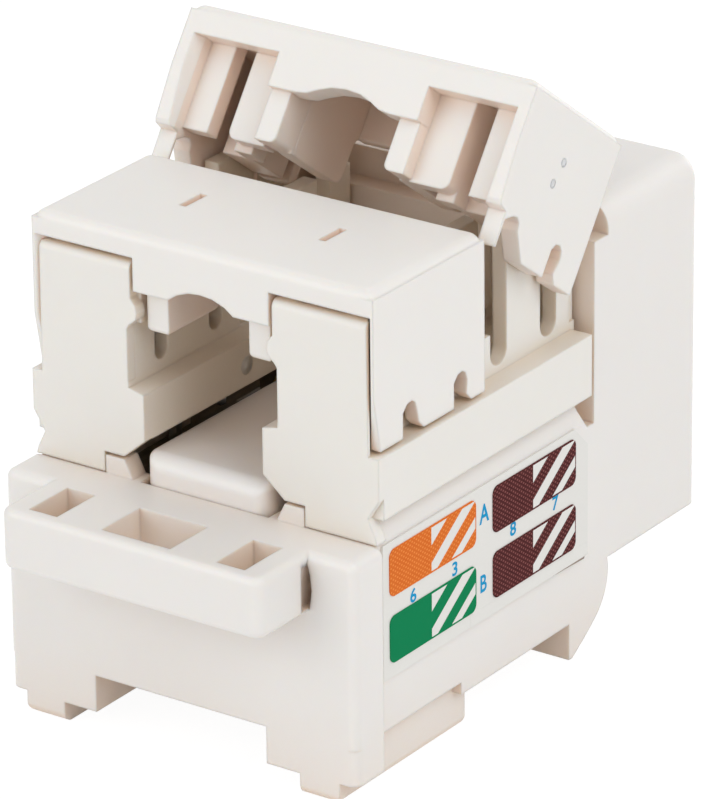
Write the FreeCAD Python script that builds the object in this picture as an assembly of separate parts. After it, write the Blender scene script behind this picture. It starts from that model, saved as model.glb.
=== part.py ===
import FreeCAD, Part
import math, os

os.makedirs("parts", exist_ok=True)
V = FreeCAD.Vector

# Driving dimensions, mm.  x: across, y: from the cable side towards the plug side, z: up.
body_w = 16.7            # width of the front block and of the lower body
block_h = 16.0           # height of the block that fills the panel cut-out
block_len = 8.2          # depth of that block
front_y = 26.25          # plug face
block_z = 3.65           # underside of the block above the resting plane
wall_proud = 0.4         # cable-side wall, past the body on each side
wall_t = 1.95
wall_top = 10.65
rail_h = 2.2
rail_drop = 0.2          # the rails stand lower than the catch
catch_gap = 8.1          # panel edge held between the rail ends and the catch
cap_top = 21.5           # top of the closed caps
cap_plate = 1.05         # cap top plate
cap_wall = 0.65          # cap side wall
cap_skirt_z = 14.6       # lower edge of the cap teeth
open_angle = 36.0        # rear cap as it stands open
tower_wall = 0.7
channel_w = 7.4          # cable channel between the towers
sill_w = 5.9             # narrower foot of the channel
fit_gap = 0.2            # between pieces that pass each other
board_t = 1.0
plug_w = 12.0            # eight-way modular plug cavity
plug_h = 6.85
plug_deep = 12.7
pin_r = 0.45
pin_play = 0.05

half = body_w / 2
wall_half = half + wall_proud
band_half = half + 0.25               # skirt of the carrier and the rear cap
cap_half = half + 0.05                # front cap
face_y = wall_t                      # cable-side face of the carrier
block_y = front_y - block_len
block_top = block_z + block_h
body_top = wall_top + 0.8
base_z = rail_h - 0.55
stop_y = block_y - 1.85 - catch_gap
rail_end = stop_y + 0.9
catch_y = stop_y + catch_gap
cap_under = cap_top - cap_plate
inner_x = channel_w / 2
sill = sill_w / 2
tower_half = cap_half - cap_wall - fit_gap
tower_top = cap_under - 0.15
tower_foot = cap_skirt_z + 0.2
band_top = cap_skirt_z - 0.15
room_in = inner_x + tower_wall       # inside faces of a tower
room_out = tower_half - tower_wall
room = room_out - room_in
pusher_in = room_in + 0.306 * room
pusher_out = room_out - 0.082 * room
contact_x = (pusher_in + pusher_out) / 2
blade = 0.265 * room                 # half width of a wire contact
groove_in = contact_x - 0.41         # slot of the rear cap over the contacts
groove_out = contact_x + 0.62
plug_half = plug_w / 2
plug_back = front_y - plug_deep
plug_z = block_z + 2.85
plug_roof = plug_z + plug_h
floor_z = plug_roof + 0.3            # floor of the carrier above the plug cavity
tail_x = plug_half + 0.5             # board tails of the rear contacts
board_half = plug_half + 0.85
board_z = wall_top - 0.9 - board_t
board_top = board_z + board_t
insert_top = wall_top + 1.3
insert_half = sill + 0.15
contact_top = cap_skirt_z + 1.2
pusher_z = contact_top + 0.3
rear_end = block_y - 0.3
cap_room = rear_end - face_y         # both caps in a row
front_len, rear_len = 0.498 * cap_room, 0.4905 * cap_room
front_end = face_y + front_len
rear_start = rear_end - rear_len
wire_y = (face_y + 0.292 * front_len, face_y + 0.769 * front_len,
          rear_start + 0.271 * rear_len, rear_start + 0.746 * rear_len)
rear_pin = (block_y + 2.05, block_top - 0.95)
ear_r = 0.95
label_y = 2.4
label_z = base_z + 2.85
label_len = block_y - 0.6 - label_y
label_h = wall_top - 0.15 - label_z
origin = V(0, front_y, block_z + block_h / 2)


def box(x0, x1, y0, y1, z0, z1):
    return Part.makeBox(x1 - x0, y1 - y0, z1 - z0, V(x0, y0, z0))


def both(shape):
    # the piece and its mirror twin across the middle plane
    return shape.fuse(shape.mirror(V(0, 0, 0), V(1, 0, 0)))


def pair(x0, x1, y0, y1, z0, z1):
    return both(box(x0, x1, y0, y1, z0, z1))


def prism(points, along, start, end):
    # closed outline pushed along one axis; the points hold the other two in order
    where = {"x": lambda a, b: V(start, a, b), "y": lambda a, b: V(a, start, b),
             "z": lambda a, b: V(a, b, start)}[along]
    wire = Part.makePolygon([where(a, b) for a, b in points] + [where(*points[0])])
    run = {"x": V(end - start, 0, 0), "y": V(0, end - start, 0), "z": V(0, 0, end - start)}[along]
    return Part.Face(wire).extrude(run)


def rod(y, z, r, x0, x1):
    return Part.makeCylinder(r, x1 - x0, V(x0, y, z), V(1, 0, 0))


def soften(shape, r, test):
    # fillet the edges whose middle point passes the test
    picked = [e for e in shape.Edges if test(e.valueAt((e.FirstParameter + e.LastParameter) / 2), e)]
    return shape.makeFillet(r, picked) if picked else shape


def along_axis(edge, axis):
    if edge.Curve.TypeId != "Part::GeomLine":
        return False
    d = edge.Vertexes[0].Point - edge.Vertexes[-1].Point
    return abs(getattr(d, axis)) > 0.999 * d.Length > 0


def near(a, b):
    return abs(a - b) < 0.02


def join(first, *rest):
    for piece in rest:
        first = first.fuse(piece)
    return first.removeSplitter()


def cut(body, *tools):
    for tool in tools:
        body = body.cut(tool)
    return body


def slot_x(y, z0, z1, w, x0, x1):
    # upright slot through a wall, round at its foot
    return box(x0, x1, y - w / 2, y + w / 2, z0 + w / 2, z1).fuse(rod(y, z0 + w / 2, w / 2, x0, x1))


# ---- main housing ----

def lower_body():
    top, low = body_top, wall_top - 0.15
    side = [(half, base_z), (half, low), (half - 0.45, top)]
    y = block_y
    notch = [(y - 1.1, top + 0.2), (y - 0.75, low), (y - 0.5, low - 0.3), (y, low - 0.3), (y, top + 0.2)]
    shell = prism(side + [(-x, z) for x, z in reversed(side)], "y", face_y - 0.5, block_y + 0.5)
    return cut(shell, pair(half - 0.9, half + 1, face_y, stop_y, base_z - 1, rail_h),
               box(-board_half - 0.2, board_half + 0.2, face_y + 0.9, block_y - 1.0, rail_h + 1.2, top + 1),
               box(-half - 1, half + 1, 0, face_y, wall_top, top + 1),
               pair(4.95, half + 1, face_y - 0.1, face_y + 0.68, wall_top, top + 1), insert_bay(),
               both(prism(notch, "x", half - 0.9, half + 1)))


def insert_bay():
    # room for the channel hump; its sides lean outwards above the wall
    w, top = insert_half + 0.1, body_top + 0.2
    side = [(w, board_z), (w, wall_top), (w + 0.4, wall_top), (w + 0.9, top)]
    return prism(side + [(-x, z) for x, z in reversed(side)], "y", face_y, plug_back)


def cable_wall():
    w = wall_half
    wall = box(-w, w, 0, wall_t, rail_h + 0.2, wall_top)
    wall = soften(wall, 0.42, lambda m, e: (near(m.y, 0) and not near(m.z, rail_h + 0.2))
                  or (near(m.z, wall_top) and near(abs(m.x), w)))
    foot = both(soften(box(4.3, w, 0, wall_t, 0.8, rail_h + 0.4), 0.5,
                       lambda m, e: near(m.x, w) and near(m.y, 0)))
    return wall.fuse(foot)


def tie_bar():
    reach, low = 3.3, wall_top - 2.65
    end = wall_half - 2.28
    bar = box(-end, end, -reach, 0.4, low, wall_top)
    bar = soften(bar, 0.55, lambda m, e: near(m.y, -reach) and along_axis(e, "z"))
    bar = soften(bar, 0.3, lambda m, e: m.y < -0.3 and (near(m.z, wall_top) or near(m.z, low)))
    holes = pair(3.95, 5.35, -reach + 0.6, -0.15, low - 1, wall_top + 1)
    return bar.cut(holes).cut(box(-1.7, 1.7, -reach + 0.6, -0.15, low - 1, wall_top + 1))


def wall_slots():
    # pointed openings beside the bar, for the tail of the tie
    x = wall_half - 2.36
    tip, foot = wall_top - 0.25, wall_top - 2.45
    shape = [(x, tip), (x + 0.2, tip - 0.7), (x + 0.26, tip - 1.4), (x + 0.16, foot),
             (x - 0.3, foot), (x - 0.26, tip - 1.1), (x - 0.1, tip - 0.4)]
    return both(prism(shape, "y", -0.45, 1.5))


def rails():
    x0, x1, z0 = 5.95, half - 0.45, -rail_drop
    rail = box(x0, x1, 0, rail_end, z0, rail_h + 0.2)
    rail = soften(rail, 0.45, lambda m, e: near(m.z, z0) and not near(m.x, x0))
    step = box(4.3, x0 + 0.1, 0, rail_end, 0.75, rail_h + 0.2)
    return both(rail.fuse(step))


def catch():
    y, z = catch_y, block_z
    pts = [(y, base_z + 0.2), (y, 0.0), (y + 0.25, 0.0), (y + 0.9, 0.4), (y + 1.8, 1.02), (y + 2.5, 1.68),
           (y + 2.9, 2.5), (y + 3.0, 3.0), (y + 2.85, z + 0.2), (y + 0.5, z + 0.2)]
    wire = [Part.makePolygon([V(-half, *pts[i]) for i in (8, 9, 0, 1, 2)])]
    curve = Part.BSplineCurve()
    curve.interpolate([V(-half, *p) for p in pts[2:9]])
    face = Part.Face(Part.Wire(wire[0].Edges + [curve.toShape()]))
    return face.extrude(V(body_w, 0, 0))


def plug_block():
    block = box(-half, half, block_y, front_y, block_z, block_top)
    block = soften(block, 1.1, lambda m, e: near(m.z, block_top) and near(abs(m.x), half))
    block = soften(block, 0.6, lambda m, e: near(m.y, front_y) and not near(m.z, block_z))
    ledge = box(-half - 1, half + 1, block_y - 1, block_y + 1.05, block_top - 1.35, block_top + 1)
    return block.cut(ledge)


def hinge_pockets():
    y, z = rear_pin
    pocket = pair(5.3, 6.9, block_y - 1, y + ear_r + 0.3, z - ear_r - 0.35, block_top + 1)
    bore = both(rod(y, z, pin_r + pin_play, 6.8, 7.65))
    return pocket.fuse(bore)


def plug_cavity():
    w = plug_half
    main = box(-w, w, plug_back, front_y + 1, plug_z, plug_roof)
    key = box(-3.15, 3.15, plug_back + 3, front_y + 1, plug_z - 1.0, plug_z + 0.1)
    tongue = box(-1.95, 1.95, front_y - 4, front_y + 1, plug_z - 1.9, plug_z)
    mouth = prism([(w + 0.35, plug_z - 0.35), (w + 0.35, plug_roof + 0.35), (-w - 0.35, plug_roof + 0.35),
                   (-w - 0.35, plug_z - 0.35)], "y", front_y - 0.35, front_y + 1)
    return join(main, key, tongue, mouth)


def panel_latch():
    # flexible arm over the block: rooted at the plug face, free towards the cable side
    z = block_top
    y1, y0 = front_y - 0.35, block_y + 3.2
    pts = [(y1, z - 0.6), (y1, z + 0.25), (y1 - 0.6, z + 0.6), (y0 + 1.5, z + 1.0), (y0, z + 1.0),
           (y0, z + 0.4), (y0 + 1.4, z + 0.35), (y1 - 1.6, z + 0.15), (y1 - 1.9, z - 0.6)]
    return prism(pts, "x", -3.2, 3.2)


def main_housing():
    body = join(lower_body(), cable_wall(), rails(), catch(), plug_block(), tie_bar(), panel_latch())
    w = plug_half + 0.9
    rear_room = box(-w, w, plug_back - 0.8, block_y + 0.1, rail_h + 1.2, body_top + 1)
    x = board_half - 0.55
    ledge = pair(x, x + 0.85, face_y + 0.8, wire_y[2] - 0.6, rail_h + 1, board_z)
    body = cut(body, wall_slots(), hinge_pockets(), rear_room, plug_cavity(),
               box(-half - 1, half + 1, block_y - 0.6, block_y, body_top - 0.05, block_top + 1)).fuse(ledge)
    return body.removeSplitter()


# ---- wire carrier with its two towers ----

def jambs():
    ch, low, top = inner_x + 0.02, wall_top, tower_top
    inner = [(5.0, low + 0.05), (5.0, low + 0.95), (4.0, low + 0.95), (sill, low + 1.85),
             (sill, tower_foot), (ch, tower_foot + 0.15), (ch, top - 3.0), (ch - 0.15, top - 2.8),
             (ch - 0.45, top - 2.55), (ch - 0.52, top - 2.25), (ch - 0.45, top - 1.95),
             (ch - 0.2, top - 1.65), (ch - 0.2, top - 0.1)]
    outer = [(half - 0.3, top - 0.1), (half - 0.25, band_top), (band_half, band_top), (band_half, low + 2.0),
             (band_half - 0.35, low + 1.45), (band_half - 0.55, low + 1.1), (band_half - 0.2, low + 0.4),
             (band_half - 0.1, low + 0.05)]
    plate = prism(inner + outer, "y", face_y, face_y + 0.62)
    plate = soften(plate, 0.35, lambda m, e: near(m.z, top - 0.1) and near(m.y, face_y))
    x = half - 0.3
    bevel = prism([(x + 0.5, face_y - 0.1), (x + 0.5, face_y + 0.7), (x - 0.4, face_y + 0.7),
                   (x + 0.07, face_y + 0.12), (x + 0.07, face_y - 0.1)], "z", band_top, cap_top)
    return both(plate.cut(bevel))


def towers():
    z0 = tower_foot - 1
    t = tower_wall
    outer = box(room_out, tower_half, face_y + 0.5, rear_end, z0, tower_top)
    outer = soften(outer, 0.5, lambda m, e: near(m.y, rear_end) and near(m.x, tower_half))
    y = rear_start
    dip = box(room_out - 0.1, tower_half + 0.1, y - 0.2, y + 1.3, tower_top - 0.3, cap_top)
    gate = box(room_out - 0.1, tower_half + 0.1, y + 0.6, y + 2.15, tower_foot + 1.45, cap_top)
    front = box(inner_x, room_in, face_y + 0.5, front_end - 0.12, z0, tower_top)
    rear = box(inner_x, room_in, y + 2.2, rear_end, z0, tower_top - 0.9)
    guide = box(inner_x - 0.36, inner_x + 0.1, face_y + 0.5, face_y + 2.0, tower_top - 2.85, tower_top - 1.45)
    divider = box(inner_x + 0.25, tower_half - 0.1, front_end - 0.07, y + 0.35, z0, tower_top - 1.6)
    back = box(inner_x, tower_half - 0.1, rear_end - t, rear_end, z0, tower_top - 2.4)
    return both(join(cut(outer, dip, gate), front, rear, guide, divider, back))


def wire_slots():
    tools = []
    for i, y in enumerate(wire_y):
        foot = tower_foot - 0.05
        inner_top = tower_top - 3.0 if i < 2 else cap_top
        tools.append(slot_x(y, foot, cap_top, 1.2, room_out - 0.1, tower_half + 0.1))
        tools.append(slot_x(y, foot + 0.45, inner_top, 0.9, inner_x - 0.1, room_in + 0.1))
    return both(join(*tools))


def contact_pockets():
    # wells for the wire contacts; the rear ones reach out to the board tails
    tools = []
    for i, y in enumerate(wire_y):
        x0, x1 = pusher_in - 0.15, pusher_out + 0.15
        tools.append(pair(x0, x1, y - 0.45, y + 0.45, wall_top + 1.35, tower_foot + 0.8))
        if i > 1:
            tools.append(pair(contact_x, tail_x + 0.3, y - 0.45, y + 0.45, wall_top + 1.35, floor_z + 0.8))
    return tools


def wire_carrier():
    low = wall_top + 1.8
    side = box(sill, tower_half, face_y + 0.5, rear_end, low, tower_foot)
    x, top = sill - 0.1, tower_foot + 0.8
    shelf_cut = prism([(x, tower_foot - 0.3), (inner_x, tower_foot - 0.1), (inner_x, top), (x, top)],
                      "y", face_y, rear_end + 2)
    skirt = box(half - 0.75, band_half, face_y + 0.35, rear_end - 0.25, body_top + 0.25, band_top)
    web = box(tower_half - 0.3, half - 0.5, face_y + 0.5, rear_end - 0.25, low, band_top)
    bridge = box(-sill - 0.5, sill + 0.5, plug_back - 1.25, rear_end, floor_z, tower_foot - 0.1)
    end = box(-inner_x - 0.2, inner_x + 0.2, rear_end - 0.8, rear_end, floor_z, tower_foot + 1.0)
    foot = pair(board_half - 0.55, board_half + 0.1, face_y + 1.45, front_end - 0.2, board_top, low + 0.15)
    body = join(jambs(), both(join(side, skirt, web)), towers(), bridge, end, foot)
    plug_room = box(-plug_half, plug_half, plug_back - 0.9, rear_end + 1, plug_z, floor_z - 0.15)
    body = cut(body, both(shelf_cut), wire_slots(), plug_room, *contact_pockets())
    return body.removeSplitter()


# ---- caps, drawn closed ----

def cap_side(x1, y1, front, notches):
    # side wall with its rounded notches; a notch is (start, end, crown, height) about its wire
    foot, brow = cap_skirt_z, cap_top - 0.3
    pts = [(front[0][0], brow)] + front
    for y, (a, b, crown, rise) in notches:
        a, b, crown, top = y + a, y + b, y + crown, foot + rise
        pts += [(a, foot), (a, top - 0.35), (crown - 0.28, top - 0.05), (crown + 0.05, top),
                (crown + 0.3, top - 0.15), (crown + 0.42, top - 0.5), (b - 0.35, foot + 0.35), (b, foot)]
    pts += [(y1, foot), (y1, brow)]
    return both(prism(pts, "x", cap_half - cap_wall, x1))


def cap_plate_solid(x, y0, y1):
    plate = box(-x, x, y0, y1, cap_under, cap_top)
    plate = soften(plate, 0.55, lambda m, e: near(m.z, cap_top) and near(abs(m.x), x))
    return soften(plate, 0.4, lambda m, e: near(m.z, cap_top) and (near(m.y, y0) or near(m.y, y1)))


def cap_pushers(y0, y1, wires):
    # ribs that press the wires into their contacts, parted where a contact stands
    gaps = [pair(pusher_in - 0.15, pusher_out + 0.15, y - 0.25, y + 0.25, pusher_z - 0.1, pusher_z + 1.2)
            for y in wires]
    return cut(pair(pusher_in, pusher_out, y0, y1, pusher_z, cap_under + 0.1), *gaps)


def front_cap():
    y0, y1, u = face_y, front_end, cap_under
    head = box(-inner_x + 0.35, inner_x - 0.35, y0, y0 + 1.1, u - 1.45, u + 0.1)
    arch = prism([(-1.75, u - 1.55), (-1.2, u - 1.15), (-0.6, u - 0.93), (0, u - 0.87), (0.6, u - 0.93),
                  (1.2, u - 1.15), (1.75, u - 1.55)], "y", y0 - 0.1, y0 + 2)
    leg = box(inner_x - 1.7, inner_x - 0.65, y0 + 0.55, y0 + 4.0, u - 3.35, u + 0.1)
    leg = soften(leg, 0.3, lambda m, e: near(m.z, u - 3.35))
    slits = pair(inner_x - 0.42, inner_x - 0.08, y0 + 3.6, y0 + 5.1, cap_top - 0.45, cap_top + 0.1)
    notches = [(wire_y[0], (-0.27, 1.2, 0.3, 1.45)), (wire_y[1], (-0.4, 0.85, 0.15, 1.45))]
    walls = cap_side(cap_half, y1, [(y0, cap_top - 4.5), (y0 + 0.45, cap_skirt_z)], notches)
    x = cap_half - cap_wall - 0.1
    bevel = both(prism([(x, y0 - 0.1), (cap_half - 0.06, y0 - 0.1), (x, y0 + 0.85)], "z", cap_skirt_z - 1, u))
    pushers = cap_pushers(y0 + 2.05, y1 - 0.9, wire_y[:2])
    body = join(cap_plate_solid(cap_half, y0, y1), walls.cut(bevel), head.cut(arch), both(leg), pushers)
    return body.cut(slits).removeSplitter()


def rear_face():
    # cable-side plate: a shallow arch over the channel between two window tops
    y0, arch, window = rear_start, cap_top - 2.78, cap_top - 1.3
    line = [(0, cap_top - 2.2), (0.7, cap_top - 2.27), (1.3, cap_top - 2.48), (1.8, arch + 0.06), (2.3, arch),
            (inner_x + 0.02, arch), (inner_x + 0.02, window), (cap_half - 0.6, window),
            (cap_half - 0.6, cap_under + 0.1)]
    return prism([(-x, z) for x, z in line[:0:-1]] + line, "y", y0, y0 + 1.1)


def rear_header():
    # posts beside the arch and blocks on both sides of the slot over the contacts
    y, low, top = rear_start, cap_skirt_z + 1.8, cap_under + 0.1
    post = box(inner_x - 1.0, inner_x, y + 0.35, y + 1.95, low + 0.1, top)
    post = soften(post, 0.3, lambda m, e: near(m.z, low + 0.1) and near(m.x, inner_x - 1.0))
    inner = box(inner_x - 0.1, groove_in, y + 1.1, y + 1.95, low, top)
    inner = soften(inner, 0.4, lambda m, e: near(m.z, low) and near(m.x, groove_in))
    outer = box(groove_out, cap_half, y + 1.1, y + 1.95, low, top)
    back = box(inner_x - 1.0, inner_x - 0.2, y + 1.8, y + 3.4, low + 0.1, top)
    rib = box(room_in + 0.2, groove_in, y + 1.9, y + 3.0, pusher_z, top)
    return both(join(post, inner, back, rib)).fuse(both(outer))


def rear_cap():
    y0, y1, u = rear_start, rear_end, cap_under
    low, x = cap_skirt_z + 1.8, band_half
    front = [(y0, cap_top - 2.8), (y0 + 0.22, low), (y0 + 0.35, low - 0.2), (y0 + 0.85, low - 0.3),
             (y0 + 0.9, cap_skirt_z)]
    notches = [(wire_y[2], (-1.12, 1.17, -0.3, 1.55)), (wire_y[3], (-0.6, 0.5, -0.1, 1.55))]
    walls = cap_side(x, y1, front, notches)
    flare = both(prism([(x - 0.5, y0 - 0.1), (cap_half - cap_wall - 0.1, y0 - 0.1),
                        (cap_half - cap_wall - 0.1, y0 + 0.7)], "z", cap_skirt_z - 1, cap_top - 1.3))
    pushers = cap_pushers(y0 + 2.9, y1 - 1.15, wire_y[2:])
    y, z = rear_pin
    ear = prism([(y1 - 1.3, u + 0.1), (y1 - 0.05, u + 0.1), (y + 0.35, z + ear_r * 0.93),
                 (y - 0.2, z - ear_r * 0.97), (y1 - 0.4, z - 0.6), (y1 - 1.3, z - 0.6)], "x", 5.5, 6.7)
    ear = ear.fuse(rod(y, z, ear_r, 5.5, 6.7)).fuse(rod(y, z, pin_r, 6.6, 7.5))
    body = join(cap_plate_solid(x, y0, y1), rear_face(), walls.cut(flare), rear_header(), both(ear), pushers)
    body.rotate(V(0, y, z), V(1, 0, 0), -open_angle)
    return body


# ---- working parts ----

def circuit_board():
    x, y1 = board_half, plug_back - 0.9
    board = box(-x, x, face_y + 1.1, y1, board_z, board_top)
    arms = pair(plug_half + 0.15, x, y1 - 0.5, wire_y[3] + 0.75, board_z, board_top)
    holes = [pair(contact_x - 0.3, contact_x + 0.3, y - 0.22, y + 0.22, board_z - 1, board_z + 2)
             for y in wire_y[:2]]
    holes += [pair(tail_x - 0.15, tail_x + 0.15, y - 0.22, y + 0.22, board_z - 1, board_z + 2)
              for y in wire_y[2:]]
    return cut(join(board, arms), *holes)


def contact_insert():
    # hump under the cable channel
    w, y0 = insert_half, face_y + 0.05
    hump = box(-w, w, y0, plug_back - 2.25, board_top, insert_top)
    hump = soften(hump, 0.7, lambda m, e: near(m.y, y0) and not near(m.z, board_top))
    return soften(hump, 0.25, lambda m, e: near(m.z, insert_top) and near(abs(m.x), w) and m.y > y0 + 1)


def comb():
    y0 = plug_back + 0.1
    plate = box(-plug_half + 0.4, plug_half - 0.4, y0, y0 + 1.1, board_top + 0.1, floor_z - 0.25)
    grooves = [box(x - 0.26, x + 0.26, y0 - 0.1, y0 + 1.2, board_top, plug_roof - 0.45)
               for x in pin_places()]
    return cut(plate, *grooves)


def pin_places():
    return [0.085 * plug_w * (i - 3.5) for i in range(8)]


def spring_contact(x):
    # strip bent from the board over the comb and back down into the plug cavity
    y0, high = plug_back - 0.15 * plug_deep, plug_roof - 0.11 * plug_h
    t, w = 0.025 * plug_w, 0.03 * plug_w
    along = [y0 + share * plug_deep for share in (0, 0, 0.126, 0.488, 0.528, 0.284)]
    height = [board_top, board_top + 0.9, high, high, high - 0.08 * plug_h, high - 0.52 * plug_h]
    line = list(zip(along, height))
    pts, back = [], []
    for i, (y, z) in enumerate(line):
        a, b = line[max(i - 1, 0)], line[min(i + 1, len(line) - 1)]
        d = math.hypot(b[0] - a[0], b[1] - a[1])
        n = (-(b[1] - a[1]) / d * t / 2, (b[0] - a[0]) / d * t / 2)
        pts.append((y + n[0], z + n[1]))
        back.append((y - n[0], z - n[1]))
    return prism(pts + back[::-1], "x", x - w / 2, x + w / 2)


def wire_contact(sign, y, rear):
    # slotted blade that bites through the insulation, with its board tail
    foot = floor_z + 0.1 if rear else wall_top + 1.55
    lip, slit, top = 0.585 * blade, 0.246 * blade, contact_top
    side = [(blade, foot), (blade, top), (lip, top), (slit, top - 0.5), (slit, top - 1.4)]
    plate = prism(side + [(-x, z) for x, z in reversed(side)], "y", -0.2, 0.2)
    plate.translate(V(contact_x, 0, 0))
    if rear:
        tail = box(tail_x - 0.1, tail_x + 0.1, -0.2, 0.2, board_z - 0.5, foot + 0.3)
        arm = box(contact_x - blade, tail_x + 0.1, -0.2, 0.2, foot, foot + 0.3)
        plate = join(plate, arm, tail)
    else:
        plate = plate.fuse(box(contact_x - 0.2, contact_x + 0.2, -0.2, 0.2, board_z - 0.5, foot + 0.2))
    piece = plate.removeSplitter()
    if sign < 0:
        piece = piece.mirror(V(0, 0, 0), V(1, 0, 0))
    piece.translate(V(0, y, 0))
    return piece


# ---- wiring labels ----

def label(sign):
    y0, y1, z0, z1 = label_y, label_y + label_len, label_z, label_z + label_h
    plate = prism([(y0, z0), (y1, z0), (y1, z1 - 1.0), (y1 - 1.0, z1), (y0, z1)], "x", half, half + 0.1)
    return plate if sign > 0 else plate.mirror(V(0, 0, 0), V(1, 0, 0))


def colour_field(sign, column, row):
    # rounded colour patch: column 0 nearer the cable side, row 0 lower
    y0 = label_y + 0.43 + column * 0.495 * label_len
    z0 = label_z + 0.105 * label_h + row * 0.49 * label_h
    patch = box(half + 0.1, half + 0.14, y0, y0 + 0.412 * label_len, z0, z0 + 0.347 * label_h)
    patch = soften(patch, 0.35, lambda m, e: along_axis(e, "x"))
    return patch if sign > 0 else patch.mirror(V(0, 0, 0), V(1, 0, 0))


def main():
    nodes = {"main_housing": main_housing(), "wire_carrier": wire_carrier(), "front_cap": front_cap(),
             "rear_cap": rear_cap(), "circuit_board": circuit_board(), "contact_insert": contact_insert(),
             "contact_comb": comb()}
    for i, x in enumerate(pin_places()):
        nodes["spring_contact_%d" % (i + 1)] = spring_contact(x)
    for side, sign in (("right", 1), ("left", -1)):
        for i, y in enumerate(wire_y):
            nodes["wire_contact_%s_%d" % (side, i + 1)] = wire_contact(sign, y, i > 1)
        nodes["label_%s" % side] = label(sign)
    nodes["field_orange_right"] = colour_field(1, 0, 1)
    nodes["field_green_right"] = colour_field(1, 0, 0)
    nodes["field_brown_right"] = Part.Compound([colour_field(1, 1, 1), colour_field(1, 1, 0)])
    nodes["field_green_left"] = colour_field(-1, 1, 1)
    nodes["field_orange_left"] = colour_field(-1, 1, 0)
    nodes["field_blue_left"] = Part.Compound([colour_field(-1, 0, 1), colour_field(-1, 0, 0)])
    for name, shape in nodes.items():
        shape = shape.copy()
        shape.translate(-origin)
        shape.exportStep("parts/%s.step" % name)
        print(name, len(shape.Solids), shape.isValid(), round(shape.Volume, 1))


main()
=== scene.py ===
# Keystone wiring jack: plastics, contacts, wiring labels and mould marks dressed on the solid parts.
import math
import bpy
import numpy as np
from mathutils import Matrix, Vector


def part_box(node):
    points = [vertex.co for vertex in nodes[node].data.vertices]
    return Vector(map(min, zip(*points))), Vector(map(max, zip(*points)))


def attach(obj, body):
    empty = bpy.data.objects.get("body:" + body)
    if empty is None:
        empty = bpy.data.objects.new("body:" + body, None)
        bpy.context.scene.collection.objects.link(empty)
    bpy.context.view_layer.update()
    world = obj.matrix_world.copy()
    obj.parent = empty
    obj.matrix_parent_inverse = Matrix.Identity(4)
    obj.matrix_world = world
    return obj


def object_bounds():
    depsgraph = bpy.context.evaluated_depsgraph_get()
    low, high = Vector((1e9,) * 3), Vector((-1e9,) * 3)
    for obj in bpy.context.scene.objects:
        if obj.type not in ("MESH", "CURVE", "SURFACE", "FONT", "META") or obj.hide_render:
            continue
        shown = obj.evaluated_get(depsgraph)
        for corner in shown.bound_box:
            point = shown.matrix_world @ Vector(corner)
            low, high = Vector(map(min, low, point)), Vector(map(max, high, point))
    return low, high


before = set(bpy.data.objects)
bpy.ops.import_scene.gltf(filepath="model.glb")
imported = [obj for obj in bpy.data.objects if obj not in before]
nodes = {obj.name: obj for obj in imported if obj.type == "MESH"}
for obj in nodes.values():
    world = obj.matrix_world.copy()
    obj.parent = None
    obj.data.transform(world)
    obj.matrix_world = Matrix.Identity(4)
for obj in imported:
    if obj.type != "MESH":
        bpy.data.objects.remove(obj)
cadBox = [list(corner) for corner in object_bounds()]
mm = 0.001
print("jack: solids loaded,", len(nodes))


def put(tree, kind, links=None, **settings):
    # one node: settings are its own properties, links are values or sockets for its inputs
    node = tree.nodes.new(kind)
    for key, value in settings.items():
        setattr(node, key, value)
    for key, value in (links or {}).items():
        if isinstance(value, bpy.types.NodeSocket):
            tree.links.new(value, node.inputs[key])
        else:
            node.inputs[key].default_value = value
    return node


def rgba(colour):
    return (*colour, 1.0)


def sums(tree, operation, a, b=0.0, clamp=False):
    return put(tree, "ShaderNodeMath", {0: a, 1: b}, operation=operation, use_clamp=clamp).outputs[0]


def blendColours(tree, amount, first, second):
    node = put(tree, "ShaderNodeMix", {"Factor": amount}, data_type="RGBA")
    for socket, value in ((node.inputs[6], first), (node.inputs[7], second)):
        if isinstance(value, bpy.types.NodeSocket):
            tree.links.new(value, socket)
        else:
            socket.default_value = rgba(value)
    return node.outputs[2]


def spread(tree, value, low, high):
    # 0..1 noise carried into a range
    return put(tree, "ShaderNodeMapRange", {"Value": value, "To Min": low, "To Max": high}).outputs[0]


def speckle(tree, place, size, detail=2.0, rough=0.5):
    # noise whose features are about that size in metres
    return put(tree, "ShaderNodeTexNoise", {"Vector": place, "Scale": 1 / size, "Detail": detail,
                                            "Roughness": rough}).outputs["Fac"]


def bumped(tree, height, strength, depth, normal=None):
    links = {"Strength": strength, "Distance": depth, "Height": height}
    if normal is not None:
        links["Normal"] = normal
    return put(tree, "ShaderNodeBump", links).outputs[0]


def openFinish(name):
    finish = bpy.data.materials.new(name)
    finish.use_nodes = True
    tree = finish.node_tree
    tree.nodes.clear()
    place = put(tree, "ShaderNodeTexCoord").outputs["Object"]
    return finish, tree, place


def closeFinish(finish, tree, colour, roughness, normal, **fixed):
    shader = put(tree, "ShaderNodeBsdfPrincipled", {"Roughness": roughness, "Normal": normal})
    if isinstance(colour, bpy.types.NodeSocket):
        tree.links.new(colour, shader.inputs["Base Color"])
    else:
        shader.inputs["Base Color"].default_value = rgba(colour)
    for key, value in fixed.items():
        shader.inputs[key].default_value = value
    put(tree, "ShaderNodeOutputMaterial", {"Surface": shader.outputs[0]})
    return finish


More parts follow.
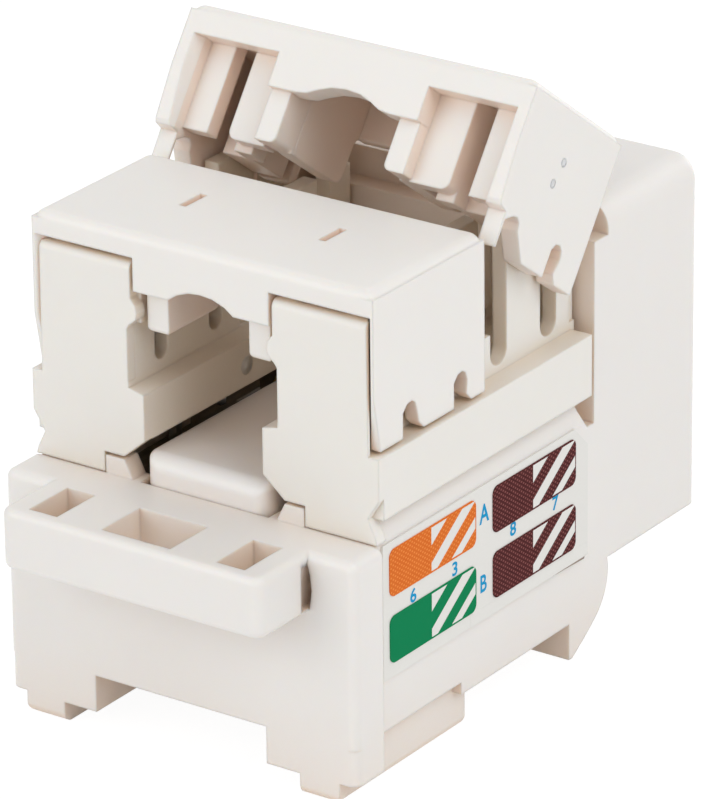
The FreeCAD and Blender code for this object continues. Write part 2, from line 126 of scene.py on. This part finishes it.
# the third colour of each plastic is painted shade: a warm brown laid into recesses and gaps where shade
# falls
housingPlastic = dict(tint=(0.812, 0.790, 0.765), shade=(0.788, 0.763, 0.734),
                      hollow=(0.780, 0.645, 0.535), gloss=0.42, edge=0.16 * mm, grain=0.11 * mm, depth=0.5)
carrierPlastic = dict(tint=(0.812, 0.792, 0.752), shade=(0.788, 0.764, 0.718),
                      hollow=(0.765, 0.655, 0.525), gloss=0.44, edge=0.15 * mm, grain=0.10 * mm, depth=0.5)
capPlastic = dict(tint=(0.825, 0.805, 0.775), shade=(0.802, 0.778, 0.744),
                  hollow=(0.860, 0.700, 0.590), gloss=0.40, edge=0.16 * mm, grain=0.12 * mm, depth=0.45)
insertPlastic = dict(tint=(0.830, 0.818, 0.806), shade=(0.806, 0.788, 0.770),
                     hollow=(0.840, 0.745, 0.670), gloss=0.34, edge=0.12 * mm, grain=0.14 * mm, depth=0.35)
combPlastic = dict(tint=(0.140, 0.108, 0.078), shade=(0.118, 0.090, 0.064),
                   hollow=(0.150, 0.112, 0.072), gloss=0.48, edge=0.05 * mm, grain=0.09 * mm, depth=0.6)
mouldLook = dict(clouds=3.5 * mm, streaks=0.7 * mm, pull=0.22, cloudShare=0.8, streakShare=0.30,
                 wave=0.16, waveDepth=0.03 * mm, grainDepth=0.006 * mm, gloss=(-0.07, 0.10), bend=1.52,
                 pale=0.5, glow=0.30, glowReach=0.35 * mm, glowTint=(1.0, 0.72, 0.45))
# ambient occlusion reach, and the openness range over which the painted shade fades in
paintedShadeLook = dict(reach=9.0 * mm, start=0.22, end=0.73)


def stretched(tree, place, scale):
    return put(tree, "ShaderNodeMapping", {"Vector": place, "Scale": scale}).outputs[0]


def mouldedPlastic(name, look):
    # broad flow clouds in the colour, and painted shade: the colour turns warm brown where ambient
    # occlusion finds little open space, in place of the shade of recesses and gaps; a fine spark-eroded
    # grain in the height, edges softened in the shading, and a little light carried inside the pale
    # plastics
    finish, tree, place = openFinish(name)
    clouds = speckle(tree, place, mouldLook["clouds"], 3.0)
    streaks = speckle(tree, stretched(tree, place, (1.0, mouldLook["pull"], 1.0)), mouldLook["streaks"],
                      4.0, 0.62)
    grain = speckle(tree, place, look["grain"], 3.0, 0.6)
    cloudy = spread(tree, clouds, 0.0, mouldLook["cloudShare"])
    colour = blendColours(tree, cloudy, look["tint"], look["shade"])
    streaky = spread(tree, streaks, 0.0, mouldLook["streakShare"])
    colour = blendColours(tree, streaky, colour, look["shade"])
    # painted shade: deep recesses, found by ambient occlusion, take the warm brown colour
    openness = put(tree, "ShaderNodeAmbientOcclusion", {"Distance": paintedShadeLook["reach"]},
                   samples=8).outputs["AO"]
    paintedShadeAmount = put(tree, "ShaderNodeMapRange", {"Value": openness, "From Min": paintedShadeLook["start"],
                                            "From Max": paintedShadeLook["end"], "To Min": 1.0, "To Max": 0.0},
               interpolation_type="SMOOTHSTEP").outputs[0]
    colour = blendColours(tree, paintedShadeAmount, colour, look["hollow"])
    soft = put(tree, "ShaderNodeBevel", {"Radius": look["edge"]}, samples=6).outputs[0]
    wavy = bumped(tree, streaks, mouldLook["wave"], mouldLook["waveDepth"], soft)
    fine = bumped(tree, grain, look["depth"], mouldLook["grainDepth"], wavy)
    gloss = spread(tree, grain, *(look["gloss"] + step for step in mouldLook["gloss"]))
    inside = {"IOR": mouldLook["bend"]}
    if look["tint"][0] > mouldLook["pale"]:
        inside.update({"Subsurface Weight": mouldLook["glow"], "Subsurface Radius": mouldLook["glowTint"],
                       "Subsurface Scale": mouldLook["glowReach"]})
    return closeFinish(finish, tree, colour, gloss, fine, **inside)


goldLook = dict(bright=(0.86, 0.64, 0.27), dull=(0.72, 0.49, 0.18), gloss=0.24)
tinLook = dict(bright=(0.74, 0.735, 0.71), dull=(0.58, 0.57, 0.55), gloss=0.33)
rollLook = dict(pull=(1.0, 0.06, 0.25), scratch=0.05 * mm, clouds=0.6 * mm, share=(0.05, 0.7),
                scratchBump=0.25, depth=0.004 * mm, gloss=(-0.06, 0.12))
boardLook = dict(mask=(0.170, 0.130, 0.080), track=(0.215, 0.165, 0.102), gloss=(0.36, 0.51),
                 bands=0.32, pitch=0.62 * mm, trackCut=0.62, cell=2.6 * mm, cellCut=0.18, dust=0.2 * mm,
                 trackBump=0.5, depth=0.03 * mm)


def platedMetal(name, look):
    # rolled strip: long scratches along the strip and cloudy plating
    finish, tree, place = openFinish(name)
    rolled = speckle(tree, stretched(tree, place, rollLook["pull"]), rollLook["scratch"], 3.0, 0.6)
    clouds = speckle(tree, place, rollLook["clouds"], 2.0)
    colour = blendColours(tree, spread(tree, clouds, *rollLook["share"]), look["bright"], look["dull"])
    fine = bumped(tree, rolled, rollLook["scratchBump"], rollLook["depth"])
    gloss = spread(tree, rolled, *(look["gloss"] + step for step in rollLook["gloss"]))
    return closeFinish(finish, tree, colour, gloss, fine, Metallic=1.0)


def solderMask(name, look):
    # olive mask over copper: raised tracks run along the board, broken in the middle of the noise cells
    finish, tree, place = openFinish(name)
    bands = put(tree, "ShaderNodeTexWave", {"Vector": place, "Scale": look["bands"] / look["pitch"],
                                            "Distortion": 0.0},
                wave_type="BANDS", bands_direction="X").outputs["Fac"]
    tracks = sums(tree, "GREATER_THAN", bands, look["trackCut"])
    cells = put(tree, "ShaderNodeTexVoronoi", {"Vector": place, "Scale": 1 / look["cell"]})
    kept = sums(tree, "GREATER_THAN", cells.outputs["Distance"], look["cellCut"])
    copper = sums(tree, "MULTIPLY", tracks, kept)
    dust = speckle(tree, place, look["dust"])
    colour = blendColours(tree, copper, look["mask"], look["track"])
    high = bumped(tree, copper, look["trackBump"], look["depth"])
    return closeFinish(finish, tree, colour, spread(tree, dust, *look["gloss"]), high)


paperLook = dict(tint=(0.765, 0.757, 0.728), fibre=(0.735, 0.722, 0.685), gloss=(0.38, 0.50),
                 pull=(1.0, 0.4, 1.0), fibreSize=0.09 * mm, fibreShare=0.9, rippleSize=2.2 * mm,
                 rippleBump=0.2, rippleDepth=0.05 * mm, fibreBump=0.3, fibreDepth=0.003 * mm)
# screen is the strength of the printing dots
printLook = dict(
    orange=dict(ink=(0.670, 0.130, 0.014), light=(0.860, 0.300, 0.070), screen=0.65),
    green=dict(ink=(0.000, 0.205, 0.074), light=(0.004, 0.250, 0.100), screen=0.0),
    brown=dict(ink=(0.046, 0.006, 0.007), light=(0.235, 0.075, 0.072), screen=0.90),
    blue=dict(ink=(0.010, 0.105, 0.450), light=(0.030, 0.160, 0.540), screen=0.0))
screenLook = dict(along=0.30 * mm, up=0.21 * mm, share=0.70)
markLook = dict(ink=(0.006, 0.290, 0.570), edge=(0.030, 0.340, 0.610))
# colours of the painted shadow line under the label's lifted edge
paintedShadowTint = dict(ink=(0.300, 0.235, 0.195), edge=(0.390, 0.320, 0.275))
inkLook = dict(shine=0.04, cloud=0.5 * mm, cloudShare=0.25, cloudGloss=(0.46, 0.58), film=0.3,
               filmDepth=0.004 * mm, worn=0.06 * mm, wornShare=0.6, wornGloss=(0.5, 0.6), wornBump=0.2,
               wornDepth=0.002 * mm)
# edges: where each white stripe starts and ends across the slant, mm; half: share of the field without them
stripeLook = dict(slope=0.70, edges=((-0.857, 9.0), (-2.295, -1.630), (-3.520, -3.010)),
                  margin=0.08 * mm, endShare=0.8, half=0.478)


def labelPaper(name, look):
    # satin film: faint fibres and a slow ripple
    finish, tree, place = openFinish(name)
    fibre = speckle(tree, stretched(tree, place, look["pull"]), look["fibreSize"], 4.0, 0.65)
    ripple = speckle(tree, place, look["rippleSize"], 2.0)
    fibrous = spread(tree, fibre, 0.0, look["fibreShare"])
    colour = blendColours(tree, fibrous, look["tint"], look["fibre"])
    wavy = bumped(tree, ripple, look["rippleBump"], look["rippleDepth"])
    fine = bumped(tree, fibre, look["fibreBump"], look["fibreDepth"], wavy)
    return closeFinish(finish, tree, colour, spread(tree, fibre, *look["gloss"]), fine)


def printScreen(tree, part):
    # dots where two slanted waves meet high: sin(u + v) + sin(u - v), u along the jack and v upwards
    u = sums(tree, "MULTIPLY", part.outputs["Y"], math.tau / screenLook["along"])
    v = sums(tree, "MULTIPLY", part.outputs["Z"], math.tau / screenLook["up"])
    waves = [sums(tree, "SINE", sums(tree, sign, u, v)) for sign in ("ADD", "SUBTRACT")]
    return sums(tree, "GREATER_THAN", sums(tree, "ADD", *waves), screenLook["share"])


def whiteStripes(tree, part, low, high):
    # one patch: slant = up - slope * along, white between the edges and inside the margins
    along = sums(tree, "SUBTRACT", part.outputs["Y"], low[1])
    up = sums(tree, "SUBTRACT", part.outputs["Z"], low[2])
    slant = sums(tree, "SUBTRACT", up, sums(tree, "MULTIPLY", along, stripeLook["slope"]))
    slant = sums(tree, "MULTIPLY", slant, 1 / mm)
    white = 0.0
    for start, end in stripeLook["edges"]:
        inside = sums(tree, "MULTIPLY", sums(tree, "GREATER_THAN", slant, start),
                      sums(tree, "LESS_THAN", slant, end))
        white = sums(tree, "ADD", inside, white)
    length, height, margin = high[1] - low[1], high[2] - low[2], stripeLook["margin"]
    for value, start, end in (
            (along, stripeLook["half"] * length, length - margin * stripeLook["endShare"]),
            (up, margin, height - margin)):
        white = sums(tree, "MULTIPLY", white, sums(tree, "GREATER_THAN", value, start))
        white = sums(tree, "MULTIPLY", white, sums(tree, "LESS_THAN", value, end))
    return white


def printedField(name, look, boxes):
    # cloudy ink with printing dots, and the white stripes of every patch laid over it
    finish, tree, place = openFinish(name)
    part = put(tree, "ShaderNodeSeparateXYZ", {0: place})
    stripes = 0.0
    for low, high in boxes:
        stripes = sums(tree, "ADD", whiteStripes(tree, part, low, high), stripes, clamp=True)
    cloud = speckle(tree, place, inkLook["cloud"])
    cloudy = spread(tree, cloud, 0.0, inkLook["cloudShare"])
    ink = blendColours(tree, cloudy, look["ink"], look["light"])
    if look["screen"]:
        dots = sums(tree, "MULTIPLY", printScreen(tree, part), look["screen"])
        ink = blendColours(tree, dots, ink, look["light"])
    colour = blendColours(tree, stripes, ink, paperLook["tint"])
    thick = bumped(tree, stripes, inkLook["film"], inkLook["filmDepth"])
    return closeFinish(finish, tree, colour, spread(tree, cloud, *inkLook["cloudGloss"]), thick,
                       **{"Specular IOR Level": inkLook["shine"]})


# flat worn ink for the label marks; it also colours the painted shadow line under the label's lifted edge
def markInk(name, look):
    finish, tree, place = openFinish(name)
    worn = speckle(tree, place, inkLook["worn"], 2.0)
    colour = blendColours(tree, spread(tree, worn, 0.0, inkLook["wornShare"]), look["ink"], look["edge"])
    fine = bumped(tree, worn, inkLook["wornBump"], inkLook["wornDepth"])
    return closeFinish(finish, tree, colour, spread(tree, worn, *inkLook["wornGloss"]), fine,
                       **{"Specular IOR Level": inkLook["shine"]})


housing = mouldedPlastic("housingPlastic", housingPlastic)
carrier = mouldedPlastic("carrierPlastic", carrierPlastic)
cap = mouldedPlastic("capPlastic", capPlastic)
insert = mouldedPlastic("insertPlastic", insertPlastic)
comb = mouldedPlastic("combPlastic", combPlastic)
gold = platedMetal("goldPlating", goldLook)
tin = platedMetal("tinPlating", tinLook)
board = solderMask("boardMask", boardLook)
paper = labelPaper("labelFilm", paperLook)
marks = markInk("markInk", markLook)
# painted shadow finish for the dark line under the lifted label edge
paintedShadowFinish = markInk("labelGlue", paintedShadowTint)


def dress(node, finish):
    mesh = nodes[node].data
    mesh.materials.clear()
    mesh.materials.append(finish)


patchLook = dict(gap=0.5 * mm, height=2.5 * mm)


def patches(node):
    # boxes of the one or two patches in a solid, told apart by the gap between them along z
    co = np.array([v.co for v in nodes[node].data.vertices])
    z = co[:, 2]
    middle = (z.min() + z.max()) / 2
    groups = [co[z < middle], co[z >= middle]]
    gap = groups[1][:, 2].min() - groups[0][:, 2].max()
    if gap < patchLook["gap"] or z.max() - z.min() < patchLook["height"]:
        groups = [co]
    return [(g.min(0), g.max(0)) for g in groups]


for node in nodes:
    if node.startswith("field_"):
        look = printLook[node.split("_")[1]]
        dress(node, printedField("print" + node[6:].title().replace("_", ""), look, patches(node)))
    elif node.startswith("spring_contact"):
        dress(node, gold)
    elif node.startswith("wire_contact"):
        dress(node, tin)
    elif node.startswith("label_"):
        dress(node, paper)
for node, finish in (("main_housing", housing), ("wire_carrier", carrier), ("front_cap", cap),
                     ("rear_cap", cap), ("contact_insert", insert), ("contact_comb", comb),
                     ("circuit_board", board)):
    dress(node, finish)
print("jack: finishes on the solids")


def sheetMesh(name, points, closeV=False, lids=False):
    # points: rows x columns x 3; neighbours along both directions become four-sided faces, and the first
    # and last rows can be closed by a lid
    rows, cols = points.shape[:2]
    index = np.arange(rows * cols).reshape(rows, cols)
    ends = [index[0, ::-1].tolist(), index[-1].tolist()] if lids else []
    if closeV:
        index = np.hstack([index, index[:, :1]])
    faces = np.stack([index[:-1, :-1], index[:-1, 1:], index[1:, 1:], index[1:, :-1]], -1).reshape(-1, 4)
    mesh = bpy.data.meshes.new(name)
    mesh.from_pydata(points.reshape(-1, 3).tolist(), [], faces.tolist() + ends)
    mesh.update()
    return mesh


def addPiece(name, mesh, finish, body, smooth=True):
    piece = bpy.data.objects.new(name, mesh)
    bpy.context.scene.collection.objects.link(piece)
    mesh.materials.append(finish)
    if smooth:
        mesh.shade_smooth()
    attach(piece, body)
    return piece


# profile: share of the radius and of the rise, after a first ring sunk into the plastic
mouldMark = dict(across=48, rise=0.030 * mm, sink=0.020 * mm,
                 profile=((1.0, 0.10), (0.96, 0.55), (0.90, 0.80), (0.84, 0.55), (0.80, 0.10), (0.65, 0.05),
                          (0.55, 0.30), (0.44, 0.36), (0.22, 0.36), (0.02, 0.36)))


def roundMark(name, centre, outwards, radius, finish, body, strength=1.0):
    # the profile spun about the mark's axis: low rounded ridge at the rim, shallow dish, flat middle
    share, height = np.array(mouldMark["profile"]).T
    share = np.append(1.0, share)
    height = np.append(-mouldMark["sink"], height * mouldMark["rise"] * strength)
    turn = np.linspace(0, math.tau, mouldMark["across"], endpoint=False)
    axis = Vector(outwards).normalized()
    side = axis.orthogonal().normalized()
    other = axis.cross(side)
    r = (share * radius)[:, None, None]
    ring = np.cos(turn)[None, :, None] * np.array(side) + np.sin(turn)[None, :, None] * np.array(other)
    points = np.array(centre) + r * ring + height[:, None, None] * np.array(axis)
    mesh = sheetMesh(name, points, closeV=True, lids=True)
    return addPiece(name, mesh, finish, body, smooth=strength == 1.0)


# each mark: glyph, y and z of its middle, height, mm; bold and wide are shares of the height and width
markPlaces = dict(thick=0.004 * mm, capital=0.72, bold=dict(letter=0.030, digit=0.034),
                  wide=dict(letter=0.84, digit=1.12),
                  right=(("6", -21.72, -4.09, 0.60), ("3", -18.73, -4.06, 0.60), ("8", -14.45, -3.89, 0.60),
                         ("7", -11.27, -3.92, 0.60), ("A", -16.57, -2.40, 0.84),
                         ("B", -16.64, -5.51, 0.78)),
                  left=(("5", -21.72, -4.09, 0.60), ("4", -18.73, -4.06, 0.60), ("2", -14.45, -3.89, 0.60),
                        ("1", -11.27, -3.92, 0.60), ("A", -16.57, -2.40, 0.84),
                        ("B", -16.64, -5.51, 0.78)))


def stampMark(name, glyph, side, y, z, height):
    # a letter or digit laid on the label: its x runs along the jack and its y upwards
    sort = "letter" if glyph.isalpha() else "digit"
    curve = bpy.data.curves.new(name, "FONT")
    curve.body = glyph
    curve.size = height / markPlaces["capital"]
    curve.align_x, curve.align_y = "CENTER", "CENTER"
    curve.offset = markPlaces["bold"][sort] * height
    shape = bpy.data.objects.new(name + "Curve", curve)
    bpy.context.scene.collection.objects.link(shape)
    bpy.context.view_layer.update()
    solved = bpy.context.evaluated_depsgraph_get()
    flat = bpy.data.meshes.new_from_object(shape.evaluated_get(solved))
    bpy.data.objects.remove(shape)
    co = np.zeros(len(flat.vertices) * 3)
    flat.vertices.foreach_get("co", co)
    co = co.reshape(-1, 3)
    sign = 1 if side == "right" else -1
    middle = (co[:, :2].min(0) + co[:, :2].max(0)) / 2
    wide = (co[:, 0] - middle[0]) * markPlaces["wide"][sort]
    high = co[:, 1] - middle[1]
    face = sign * (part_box("label_" + side)[1 if sign > 0 else 0].x * sign + markPlaces["thick"])
    placed = np.stack([np.full(len(co), face), y + sign * wide, z + high], 1)
    flat.vertices.foreach_set("co", placed.ravel())
    flat.update()
    flat.name = name
    return addPiece(name, flat, marks, "jack", smooth=False)


for side in ("right", "left"):
    for glyph, y, z, height in markPlaces[side]:
        stampMark("mark" + side.title() + glyph, glyph, side, y * mm, z * mm, height * mm)
print("jack: label marks")

# lower edge of the right label's film, lifting towards the plug-side corner: ends along y, rows along z, mm
lipLook = dict(start=-17.6, end=-8.83, inner=-6.60, outer=-7.17, lift=0.22, drawUp=0.16, drawBack=0.30,
               gap=0.006, thick=0.045, across=7, along=41)


def filmPiece(name, back, front, finish):
    # both faces joined round the edges
    mesh = sheetMesh(name, np.concatenate([back, front[:, ::-1]], 1) * mm, closeV=True, lids=True)
    return addPiece(name, mesh, finish, "jack", smooth=False)


def labelLip(name):
    # the edge rises and draws in with the square of the way along and of the way down: lift * t^2 * s^2
    s = np.linspace(0, 1, lipLook["across"])
    t = np.linspace(0, 1, lipLook["along"])[:, None]
    curl = t ** 2 * s ** 2
    rise = lipLook["lift"] * curl + lipLook["gap"]
    z = lipLook["inner"] + (lipLook["outer"] - lipLook["inner"]) * s + lipLook["drawUp"] * curl
    y = lipLook["start"] + (lipLook["end"] - lipLook["start"]) * t - lipLook["drawBack"] * curl
    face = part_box("label_right")[1].x / mm
    front = np.stack([face + rise, y, z], -1)
    back = front - np.array([lipLook["thick"], 0, 0])
    return filmPiece(name, back, front, paper)


labelLip("labelLip")

# painted shadow: a dark line under the lifted edge of the label film, in place of the shadow the lifted
# edge casts
paintedShadowLook = dict(start=-15.2, end=-8.90, top=-7.10, least=0.01, width=0.27, film=0.10,
                proud=0.03, thick=0.05, across=5, along=41)


def paintedShadowLine(name):
    # a wedge whose width grows with the way along: least + width * t, proud * (1 - s^2) off the wall
    s = np.linspace(0, 1, paintedShadowLook["across"])
    t = np.linspace(0, 1, paintedShadowLook["along"])[:, None]
    y = paintedShadowLook["start"] + (paintedShadowLook["end"] - paintedShadowLook["start"]) * t + 0 * s
    z = paintedShadowLook["top"] - (paintedShadowLook["least"] + paintedShadowLook["width"] * t) * s
    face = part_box("label_right")[1].x / mm - paintedShadowLook["film"]
    front = np.stack([face + paintedShadowLook["proud"] * (1 - s ** 2) + 0 * t, y, z], -1)
    back = front - np.array([paintedShadowLook["thick"], 0, 0])
    return filmPiece(name, back, front, paintedShadowFinish)


paintedShadowLine("labelGlue")
print("jack: label edge")

# inner walls of the rear cap: outlines in y and z as if the cap were closed, mm
capInside = dict(pin=(-6.15, 7.05), turn=-36.0, inner=2.69, outer=3.52, corner=0.5, round=7,
                 seat=0.05, rearCorner=0.12,
                 sides=((-14.30, 8.84), (-14.30, 4.84), (-10.20, 4.84), (-10.20, 6.98), (-9.30, 6.98),
                        (-9.30, 8.84)),
                 rear=((-9.95, 8.84), (-9.95, 6.96), (-9.28, 6.96), (-9.28, 8.84)))


def openedCap(points):
    # a turn about the hinge pin: y and z less the pin's, times the turn's cosine and sine, plus the pin's
    angle, (y0, z0) = math.radians(capInside["turn"]), capInside["pin"]
    y, z = points[..., 1] - y0, points[..., 2] - z0
    turned = np.stack([points[..., 0], y0 + math.cos(angle) * y - math.sin(angle) * z,
                       z0 + math.sin(angle) * y + math.cos(angle) * z], -1)
    return turned * mm


def roundCorners(corners, radius, steps):
    # each corner b becomes the curve (1-t)^2 a + 2t(1-t) b + t^2 c, a and c a radius away along its sides
    b = np.array(corners, float)
    t = np.linspace(0, 1, steps)[None, :, None]
    ahead, behind = np.roll(b, -1, 0) - b, np.roll(b, 1, 0) - b
    a = b + behind * np.minimum(radius / np.linalg.norm(behind, axis=1), 0.5)[:, None]
    c = b + ahead * np.minimum(radius / np.linalg.norm(ahead, axis=1), 0.5)[:, None]
    curve = (1 - t) ** 2 * a[:, None] + 2 * t * (1 - t) * b[:, None] + t ** 2 * c[:, None]
    return curve.reshape(-1, 2)


def capWall(name, corners, x0, x1, radius):
    # the outline carried along x from one side to the other
    outline = roundCorners(corners, radius, capInside["round"])
    rings = [np.column_stack([np.full(len(outline), x), outline]) for x in (x0, x1)]
    mesh = sheetMesh(name, openedCap(np.array(rings)), closeV=True, lids=True)
    return addPiece(name, mesh, cap, "rear_cap_body", smooth=False)


for sign, side in ((1, "Right"), (-1, "Left")):
    near, far = sorted((sign * capInside["inner"], sign * capInside["outer"]))
    capWall("capWall" + side, capInside["sides"], near, far, capInside["corner"])
reach = capInside["inner"] + capInside["seat"]
capWall("capWallRear", capInside["rear"], -reach, reach, capInside["rearCorner"])
print("jack: inner walls of the rear cap")

# ejector mark in the cable channel, and two faint ones on the rear cap's side: places and radii in mm
moulding = dict(ejector=(-2.95, -17.15, 1.70), ejectorRadius=0.40, ticks=((-10.90, 11.09), (-11.71, 10.44)),
                tickInset=0.15, tickRadius=0.20, tickStrength=0.12)
roundMark("ejectorMark", [value * mm for value in moulding["ejector"]], (1, 0, 0),
          moulding["ejectorRadius"] * mm, carrier, "jack")
for letter, (y, z) in zip("AB", moulding["ticks"]):
    roundMark("capTick" + letter, (cadBox[1][0] - moulding["tickInset"] * mm, y * mm, z * mm), (1, 0, 0),
              moulding["tickRadius"] * mm, cap, "rear_cap_body",
              strength=moulding["tickStrength"])
print("jack: mould marks")

studio = dict(sky=0.675, bounce=0.90, shadow=0.14, shown=0.94, reach=4.0, aim=(0, -0.012, 0))
# place in metres, size and power
lamps = dict(keyLight=((0.42, -0.10, 0.40), 0.36, 0.95), fillLight=((-0.22, -0.52, 0.24), 0.40, 0.93),
             backLight=((-0.25, 0.40, 0.45), 0.40, 0.25), lowLight=((0.10, 0.58, 0.17), 0.30, 0.7))


def grey(value):
    return rgba((value,) * 3)


def whiteFloor():
    # plain pale floor: seen directly it stays white apart from the jack's own soft shadow
    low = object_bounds()[0]
    mesh = bpy.data.meshes.new("floor")
    corners = ((-1, -1), (1, -1), (1, 1), (-1, 1))
    mesh.from_pydata([(x * studio["reach"], y * studio["reach"], low.z) for x, y in corners], [],
                     [(0, 1, 2, 3)])
    floor = bpy.data.objects.new("floor", mesh)
    bpy.context.scene.collection.objects.link(floor)
    finish = bpy.data.materials.new("floorPaper")
    finish.use_nodes = True
    tree = finish.node_tree
    tree.nodes.clear()
    path = put(tree, "ShaderNodeLightPath")
    seen = sums(tree, "ADD", path.outputs["Is Camera Ray"],
                sums(tree, "ADD", path.outputs["Is Glossy Ray"], path.outputs["Is Transmission Ray"]), True)
    bounce = put(tree, "ShaderNodeBsdfDiffuse", {"Color": grey(studio["bounce"])})
    shadow = put(tree, "ShaderNodeBsdfDiffuse", {"Color": grey(studio["shadow"])})
    glow = put(tree, "ShaderNodeEmission", {"Color": grey(1), "Strength": studio["shown"]})
    shown = put(tree, "ShaderNodeAddShader", {0: shadow.outputs[0], 1: glow.outputs[0]})
    mixed = put(tree, "ShaderNodeMixShader", {0: seen, 1: bounce.outputs[0], 2: shown.outputs[0]})
    put(tree, "ShaderNodeOutputMaterial", {"Surface": mixed.outputs[0]})
    mesh.materials.append(finish)


def paleSky():
    world = bpy.data.worlds.new("studio")
    bpy.context.scene.world = world
    world.use_nodes = True
    tree = world.node_tree
    tree.nodes.clear()
    path = put(tree, "ShaderNodeLightPath")
    seen = sums(tree, "ADD", path.outputs["Is Camera Ray"], path.outputs["Is Transmission Ray"], True)
    light = put(tree, "ShaderNodeBackground", {"Color": grey(1), "Strength": studio["sky"]})
    white = put(tree, "ShaderNodeBackground", {"Color": grey(1), "Strength": 1.0})
    mixed = put(tree, "ShaderNodeMixShader", {0: seen, 1: light.outputs[0], 2: white.outputs[0]})
    put(tree, "ShaderNodeOutputWorld", {"Surface": mixed.outputs[0]})


def softBox(name, place, size, power):
    lamp = bpy.data.lights.new(name, "AREA")
    lamp.energy, lamp.size = power, size
    box = bpy.data.objects.new(name, lamp)
    box.location = place
    ray = Vector(studio["aim"]) - Vector(place)
    box.rotation_euler = ray.to_track_quat("-Z", "Y").to_euler()
    bpy.context.scene.collection.objects.link(box)


whiteFloor()
paleSky()
for name, (place, size, power) in lamps.items():
    softBox(name, place, size, power)

lens = dict(azimuth=35.09, elevation=23.17, roll=-0.68, focal=292.87, sensor=36, distance=270.4 * mm,
            target=(0.0, -14.25 * mm, -0.65 * mm), slide=(0.18 * mm, 0.43 * mm), clip=(0.01, 50))


def placeCamera():
    # a point on a sphere round the target, slid a little sideways and up, rolled about its own axis
    a, e, r = (math.radians(lens[key]) for key in ("azimuth", "elevation", "roll"))
    back = Vector((math.sin(a) * math.cos(e), -math.cos(a) * math.cos(e), math.sin(e)))
    right = Vector((math.cos(a), math.sin(a), 0))
    up = back.cross(right)
    across = math.cos(r) * right + math.sin(r) * up
    over = -math.sin(r) * right + math.cos(r) * up
    data = bpy.data.cameras.new("camera")
    data.lens, data.sensor_width = lens["focal"], lens["sensor"]
    data.clip_start, data.clip_end = lens["clip"]
    camera = bpy.data.objects.new("camera", data)
    turn = Matrix((across, over, back)).transposed()
    spot = Vector(lens["target"]) + back * lens["distance"]
    spot += across * lens["slide"][0] + over * lens["slide"][1]
    camera.matrix_world = Matrix.Translation(spot) @ turn.to_4x4()
    bpy.context.scene.collection.objects.link(camera)
    bpy.context.scene.camera = camera


placeCamera()
bpy.context.scene.view_settings.view_transform = "Standard"
print("jack: floor, light and camera")
